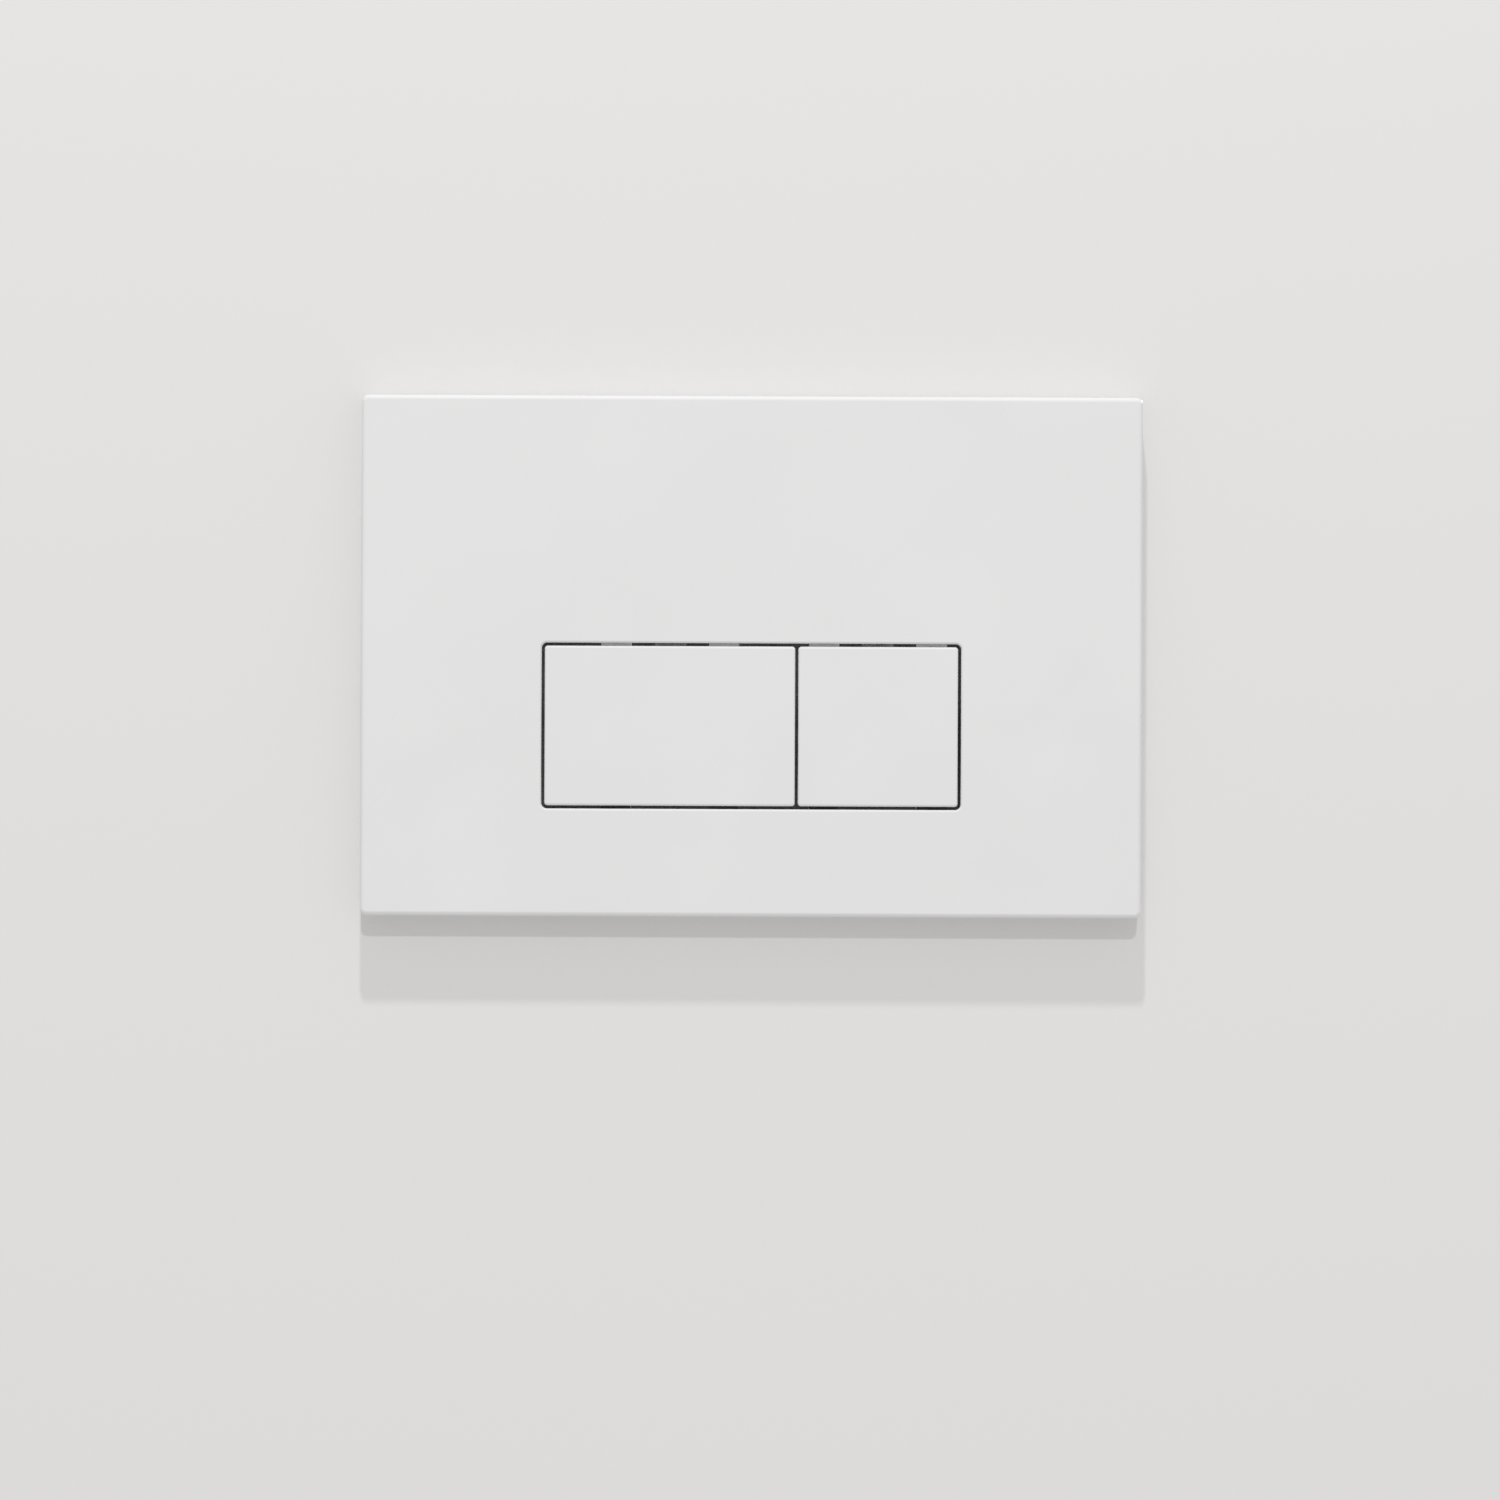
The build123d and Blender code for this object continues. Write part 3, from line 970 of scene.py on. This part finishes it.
@dataclass
class ButtonUnit:
    """One hinged button with its buffers, hinge pin and return spring."""

    size: ButtonSize
    marks: MarkTree
    strips: StripTree
    edges: MouldEdges = MouldEdges(0.00012, 3)
    buffer_edges: MouldEdges = MouldEdges(0.00025, 3)
    front_wall: float = 0.002
    skirt_depth: float = 0.007
    mark_inset: float = 0.012
    mark_rows: tuple[float, float] = (0.010, 0.040)
    mark_radius: float = 0.0017
    pin_rim: float = 0.0004
    pin_rim_steps: int = 4
    strip_width: float = 0.010
    strip_thickness: float = 0.0004
    strip_bend: float = 0.0011
    strip_step: float = 0.0006
    clip_length: float = 0.0052
    clip_back_length: float = 0.0107
    tip_length: float = 0.003
    tip_lift: float = 0.0012
    spring_gap: float = 0.0003

    @property
    def body(self) -> Body:
        """The body that the button turns with."""
        return Body(f"{self.size.value}_button")

    def node(self, piece: str) -> str:
        """Return the name of one of this unit's CAD nodes."""
        return f"{self.size.value}_{piece}"

    def build(self) -> None:
        """Make the button and the small pieces round it."""
        button, buffers = self.node("button"), self.node("button_buffers")
        mesh = self.edges.shell(button)
        Piece(f"{button}_cap", BUTTON_WHITE, self.body, (button,)).place(mesh)
        mesh = self.buffer_edges.shell(buffers)
        Piece(f"{buffers}_soft", BUFFER_BLACK, self.body, (buffers,)).place(mesh)
        self.build_marks()
        self.build_pin()
        self.build_spring()

    def build_marks(self) -> None:
        """Make the ejector marks on the back of the button's face."""
        low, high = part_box(self.node("button"))
        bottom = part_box(self.node("button_buffers"))[1].z
        columns = (low.x + self.mark_inset, high.x - self.mark_inset)
        places = [(x, bottom + row) for x in columns for row in self.mark_rows]
        piece = Piece(self.node("button_marks"), BUTTON_WHITE, self.body)
        inner_face = low.y + self.front_wall
        EjectorMarks(piece, self.marks, inner_face, places, self.mark_radius).build()

    def build_pin(self) -> None:
        """Make the hinge pin with its rounded ends."""
        node = self.node("hinge_pin")
        low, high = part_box(node)
        radius = (high.z - low.z) / 2.0
        rim = []
        for step in range(self.pin_rim_steps + 1):
            turn = math.pi / 2.0 * step / self.pin_rim_steps
            inset = self.pin_rim * (1.0 - math.sin(turn))
            rim.append((inset, radius - self.pin_rim * (1.0 - math.cos(turn))))
        levels = [(low.x + inset, size) for inset, size in rim[::-1]]
        levels += [(high.x - inset, size) for inset, size in rim]
        mesh = smoothed(turned((low + high) / 2.0, levels, Axis.X), Crease.PIN)
        Piece(f"{node}_drawn", PIN_STEEL, Body.FIXED, (node,)).place(mesh)

    def build_spring(self) -> None:
        """Make the spring strip, which clips over the carrier's bar."""
        node = self.node("return_spring")
        low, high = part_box(node)
        half = self.strip_thickness / 2.0
        x = (low.x + high.x) / 2.0
        front, back, top = low.y + half, high.y - half, high.z - half
        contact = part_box(self.node("button"))[0].y + self.skirt_depth + self.spring_gap + half
        bend, tip = top - self.clip_back_length, low.z
        path = [
            (front, top - self.clip_length),
            (front, top),
            (back, top),
            (back, bend),
            (contact, tip + self.tip_length),
            (contact + self.tip_lift, tip),
        ]
        mesh = self.strips.make(
            point_mesh([(x, y, z) for y, z in path], chain=True),
            SPRING_STEEL,
            width=self.strip_width,
            thickness=self.strip_thickness,
            bend_radius=self.strip_bend,
            step=self.strip_step,
        )
        piece = Piece(f"{node}_strip", SPRING_STEEL, self.body, (node,))
        piece.place_bent(smoothed(mesh, Crease.STRIP))


@dataclass
class CarrierRing:
    """The ring behind the window that the buttons hang from."""

    marks: MarkTree
    edges: MouldEdges = MouldEdges(0.00015)
    mark_inset: float = 0.005
    mark_drops: tuple[float, float] = (0.020, 0.067)

    def build(self) -> None:
        """Make the ring and the marks on its back."""
        mesh = self.edges.shell("button_carrier")
        Piece("carrier_ring", CARRIER_GREY, Body.FIXED, ("button_carrier",)).place(mesh)
        low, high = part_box("button_carrier")
        columns = (low.x + self.mark_inset, high.x - self.mark_inset)
        places = [(x, high.z - drop) for x in columns for drop in self.mark_drops]
        piece = Piece("carrier_marks", CARRIER_GREY, Body.FIXED)
        EjectorMarks(piece, self.marks, high.y, places).build()


@dataclass
class WallFrame:
    """The ribbed frame on the wall that the cover snaps onto."""

    marks: MarkTree
    edges: MouldEdges = MouldEdges(0.00009)
    land_height: float = 0.0005
    mark_column: float = 0.0955
    mark_rows: tuple[float, ...] = (-0.054, 0.028, 0.054)
    mark_radius: float = 0.003

    def build(self) -> None:
        """Make the frame and the marks on its back."""
        mesh = self.edges.shell("mounting_frame")
        Piece("wall_frame", FRAME_GREY, Body.FIXED, ("mounting_frame",)).place(mesh)
        places = [(side * self.mark_column, z) for side in (-1.0, 1.0) for z in self.mark_rows]
        web_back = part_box("mounting_frame")[1].y - self.land_height
        piece = Piece("frame_marks", FRAME_GREY, Body.FIXED)
        EjectorMarks(piece, self.marks, web_back, places, self.mark_radius).build()


@dataclass
class RodBridge:
    """The bent bracket across the frame with a guide tube for each rod."""

    marks: MarkTree
    edges: MouldEdges = MouldEdges(0.0001)
    guide_length: float = 0.012
    mark_columns: tuple[float, ...] = (-0.055, 0.0071, 0.063)

    def build(self) -> None:
        """Make the bracket and the marks on its back."""
        mesh = self.edges.shell("rod_bridge")
        Piece("guide_bridge", BRIDGE_GREY, Body.FIXED, ("rod_bridge",)).place(mesh)
        low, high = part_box("rod_bridge")
        places = [(x, (low.z + high.z) / 2.0) for x in self.mark_columns]
        piece = Piece("bridge_marks", BRIDGE_GREY, Body.FIXED)
        EjectorMarks(piece, self.marks, high.y - self.guide_length, places).build()


@dataclass
class PushRod:
    """One threaded push rod and the cap that its button presses."""

    size: ButtonSize
    threads: ThreadTree
    pitch: float = 0.0018
    depth: float = 0.00055
    end_bevel: float = 0.0005
    cap_edges: MouldEdges = MouldEdges(0.00015)

    def build(self) -> None:
        """Make the rod and its cap."""
        body = Body(f"{self.size.value}_rod")
        rod, cap = f"{self.size.value}_push_rod", f"{self.size.value}_rod_cap"
        low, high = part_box(rod)
        centre = (low + high) / 2.0
        core = (high.x - low.x) / 2.0 - self.depth
        levels = [
            (low.y, core - self.end_bevel),
            (low.y + self.end_bevel, core),
            (high.y - self.end_bevel, core),
            (high.y, core - self.end_bevel),
        ]
        mesh = self.threads.make(
            turned(centre, levels, Axis.Y),
            ROD_NATURAL,
            core_radius=core,
            depth=self.depth,
            pitch=self.pitch,
            length=high.y - low.y - 2.0 * self.pitch,
            start=(centre.x, low.y + self.pitch, centre.z),
        )
        mesh = smoothed(mesh, Crease.THREAD)
        Piece(f"{rod}_threaded", ROD_NATURAL, body, (rod,)).place(mesh)
        Piece(f"{cap}_pad", CAP_BLUE, body, (cap,)).place(self.cap_edges.shell(cap))


@dataclass
class WallFixing:
    """One threaded wall bolt with its collar, and the nut that clamps the frame."""

    hand: Hand
    threads: ThreadTree
    shank_length: float = 0.060
    shank_radius: float = 0.0045
    stud_radius: float = 0.0035
    collar_width: float = 0.015
    collar_thickness: float = 0.003
    collar_bevel: float = 0.0006
    collar_sides: int = 6
    end_bevel: float = 0.0006
    pitch: float = 0.0020
    depth: float = 0.0008
    nut_edges: MouldEdges = MouldEdges(0.0003)

    def build(self) -> None:
        """Make the bolt and its nut."""
        bolt, nut = f"{self.hand.value}_fixing_bolt", f"{self.hand.value}_fixing_nut"
        low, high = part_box(bolt)
        centre = (low + high) / 2.0
        collar_back = high.y - self.shank_length
        mesh = self.threads.make(
            united(self.bar(centre, low.y, high.y), self.collar(centre, collar_back)),
            BOLT_ZINC,
            core_radius=self.shank_radius - self.depth,
            depth=self.depth,
            pitch=self.pitch,
            length=self.shank_length - 2.0 * self.pitch,
            start=(centre.x, collar_back + self.pitch, centre.z),
        )
        mesh = smoothed(mesh, Crease.THREAD)
        Piece(f"{bolt}_threaded", BOLT_ZINC, Body.FIXED, (bolt,)).place(mesh)
        mesh = self.nut_edges.shell(nut)
        Piece(f"{nut}_hexagon", NUT_BLUE, Body.FIXED, (nut,)).place(mesh)

    def bar(self, centre: Vector, front: float, back: float) -> Mesh:
        """Return the stud and the shank's core as one round bar.

        Args:
            centre: A point on the bolt's axis.
            front: Depth of the stud's front end.
            back: Depth of the shank's back end.

        Returns:
            A closed mesh.
        """
        step = back - self.shank_length - self.collar_thickness / 2.0
        core = self.shank_radius - self.depth
        levels = [
            (front, self.stud_radius - self.end_bevel),
            (front + self.end_bevel, self.stud_radius),
            (step, self.stud_radius),
            (step, core),
            (back - self.end_bevel, core),
            (back, core - self.end_bevel),
        ]
        return turned(centre, levels, Axis.Y)

    def collar(self, centre: Vector, back: float) -> Mesh:
        """Return the six-sided collar with bevelled corners.

        Args:
            centre: A point on the bolt's axis.
            back: Depth of the collar's back face.

        Returns:
            A closed mesh.
        """
        corner = self.collar_width / math.sqrt(3.0)
        front, slope = back - self.collar_thickness, self.collar_bevel / 2.0
        levels = [
            (front, corner - self.collar_bevel),
            (front + slope, corner),
            (back - slope, corner),
            (back, corner - self.collar_bevel),
        ]
        return turned(centre, levels, Axis.Y, self.collar_sides)


@dataclass(frozen=True)
class Lamp:
    """A round lamp, placed by its direction from the plate.

    Attributes:
        name: The lamp's name.
        rise: Its angle above the plate, in degrees.
        turn: Its angle to the left of straight in front, in degrees.
        distance: How far from the plate it hangs.
        light: Its strength at the plate, whatever the distance.
        spread: Its width as seen from the plate, in degrees.
        mirrored: Whether glossy surfaces show it.
    """

    name: str
    rise: float
    turn: float
    distance: float
    light: float
    spread: float
    mirrored: bool

    def build(self) -> None:
        """Hang the lamp."""
        data = bpy.data.lights.new(self.name, "POINT")
        data.energy = self.light * 4.0 * math.pi * self.distance**2
        data.shadow_soft_size = self.distance * math.tan(math.radians(self.spread) / 2.0)
        rise, turn = math.radians(self.rise), math.radians(self.turn)
        level = math.cos(rise)
        towards = Vector((-math.sin(turn) * level, -math.cos(turn) * level, math.sin(rise)))
        lamp = bpy.data.objects.new(self.name, data)
        lamp.location = towards * self.distance
        lamp.visible_glossy = self.mirrored
        bpy.context.scene.collection.objects.link(lamp)


LAMPS = (
    Lamp("high_lamp", 65.5, 3.6, 2.14, light=1.24, spread=2.5, mirrored=False),
    Lamp("low_lamp", 31.8, -3.0, 40.0, light=0.56, spread=1.7, mirrored=False),
    Lamp("rear_lamp", 165.0, 25.0, 40.0, light=0.9, spread=3.0, mirrored=True),
)


def rectangle(size: tuple[float, float], depth: float) -> list[Point]:
    """Return a rectangle's corners round the Y axis, in an order that makes it face the front."""
    x, z = size[0] / 2.0, size[1] / 2.0
    return [(-x, depth, -z), (x, depth, -z), (x, depth, z), (-x, depth, z)]


@dataclass
class Studio:
    """Camera, plain backdrop and soft light."""

    frame_pixels: float = 1500.0
    pixels_per_metre: float = 3176.0
    axis_pixel: tuple[float, float] = (747.0, 701.0)
    plate_pixel: tuple[float, float] = (751.3, 656.4)
    plate_front: float = -0.012
    distance: float = 1.6
    roll: float = -0.25
    sensor: float = 36.0
    ambient: float = 0.685
    background: float = 0.86
    wall_depth: float = 0.0006
    wall_size: tuple[float, float] = (6.0, 6.0)
    opening_depth: float = 0.0002
    opening_size: tuple[float, float] = (0.214, 0.132)

    def build(self) -> None:
        """Set up everything that isn't part of the object."""
        bpy.context.scene.view_settings.view_transform = "Standard"
        self.build_camera()
        self.build_backdrop()
        self.build_light()

    def build_camera(self) -> None:
        """Stand the camera straight in front, with the plate where the photograph has it."""
        data = bpy.data.cameras.new("camera")
        data.sensor_width = self.sensor
        width = self.frame_pixels / self.pixels_per_metre
        data.lens = self.distance * self.sensor / width
        middle = self.frame_pixels / 2.0
        data.shift_x = (middle - self.axis_pixel[0]) / self.frame_pixels
        data.shift_y = (self.axis_pixel[1] - middle) / self.frame_pixels
        camera = bpy.data.objects.new("camera", data)
        camera.location = (
            (self.axis_pixel[0] - self.plate_pixel[0]) / self.pixels_per_metre,
            self.plate_front - self.distance,
            (self.plate_pixel[1] - self.axis_pixel[1]) / self.pixels_per_metre,
        )
        camera.rotation_euler = (math.pi / 2.0, math.radians(self.roll), 0.0)
        bpy.context.scene.collection.objects.link(camera)
        bpy.context.scene.camera = camera

    def build_backdrop(self) -> None:
        """Make the pale wall with an opening behind the plate, and a dark sheet in the opening:
        painted shade for the cavity behind the plate.
        """
        rim = rectangle(self.opening_size, self.wall_depth)
        sides = [(side, (side + 1) % 4, 4 + (side + 1) % 4, 4 + side) for side in range(4)]
        self.hang("wall", rectangle(self.wall_size, self.wall_depth) + rim, sides, WALL_WHITE)
        # Painted shade: the dark sheet in the opening darkens what is seen through the gaps round
        # the buttons.
        dark = rectangle(self.opening_size, self.opening_depth)
        self.hang("opening_shade_sheet", dark, [(0, 1, 2, 3)], OPENING_PAINTED_SHADE)

    def hang(
        self, name: str, points: list[Point], faces: list[tuple[int, ...]], paint: WallPaint
    ) -> None:
        """Put one part of the backdrop into the scene.

        Args:
            name: The object's name.
            points: Corners of its faces.
            faces: Numbers of each face's corners.
            paint: The part's surface.
        """
        mesh = bpy.data.meshes.new(name)
        mesh.from_pydata(points, [], faces)
        mesh.materials.append(paint.material())
        backdrop = bpy.data.objects.new(name, mesh)
        bpy.context.scene.collection.objects.link(backdrop)

    def build_light(self) -> None:
        """Make the even light from all round and hang the lamps."""
        world = bpy.data.worlds.new("studio")
        world.use_nodes = True
        wiring = Wiring(world.node_tree)
        path = wiring.add("ShaderNodeLightPath").outputs
        seen = wiring.math("MAXIMUM", path["Is Camera Ray"], path["Is Glossy Ray"])
        levels = {"Value": seen, "To Min": self.ambient, "To Max": self.background}
        strength = wiring.add("ShaderNodeMapRange", levels).outputs["Result"]
        sky = world.node_tree.nodes["Background"]
        sky.inputs["Color"].default_value = (1.0, 1.0, 1.0, 1.0)
        wiring.feed(sky, {"Strength": strength})
        bpy.context.scene.world = world
        for lamp in LAMPS:
            lamp.build()


def main() -> None:
    """Build the studio and each sub-assembly in order."""
    logging.basicConfig(level=logging.INFO, format="%(message)s")
    threads, strips, marks = ThreadTree(), StripTree(), MarkTree()
    Studio().build()
    CoverPlate(marks).build()
    for size in ButtonSize:
        ButtonUnit(size, marks, strips).build()
        PushRod(size, threads).build()
    CarrierRing(marks).build()
    WallFrame(marks).build()
    RodBridge(marks).build()
    for hand in Hand:
        WallFixing(hand, threads).build()


if __name__ == "__main__":
    main()
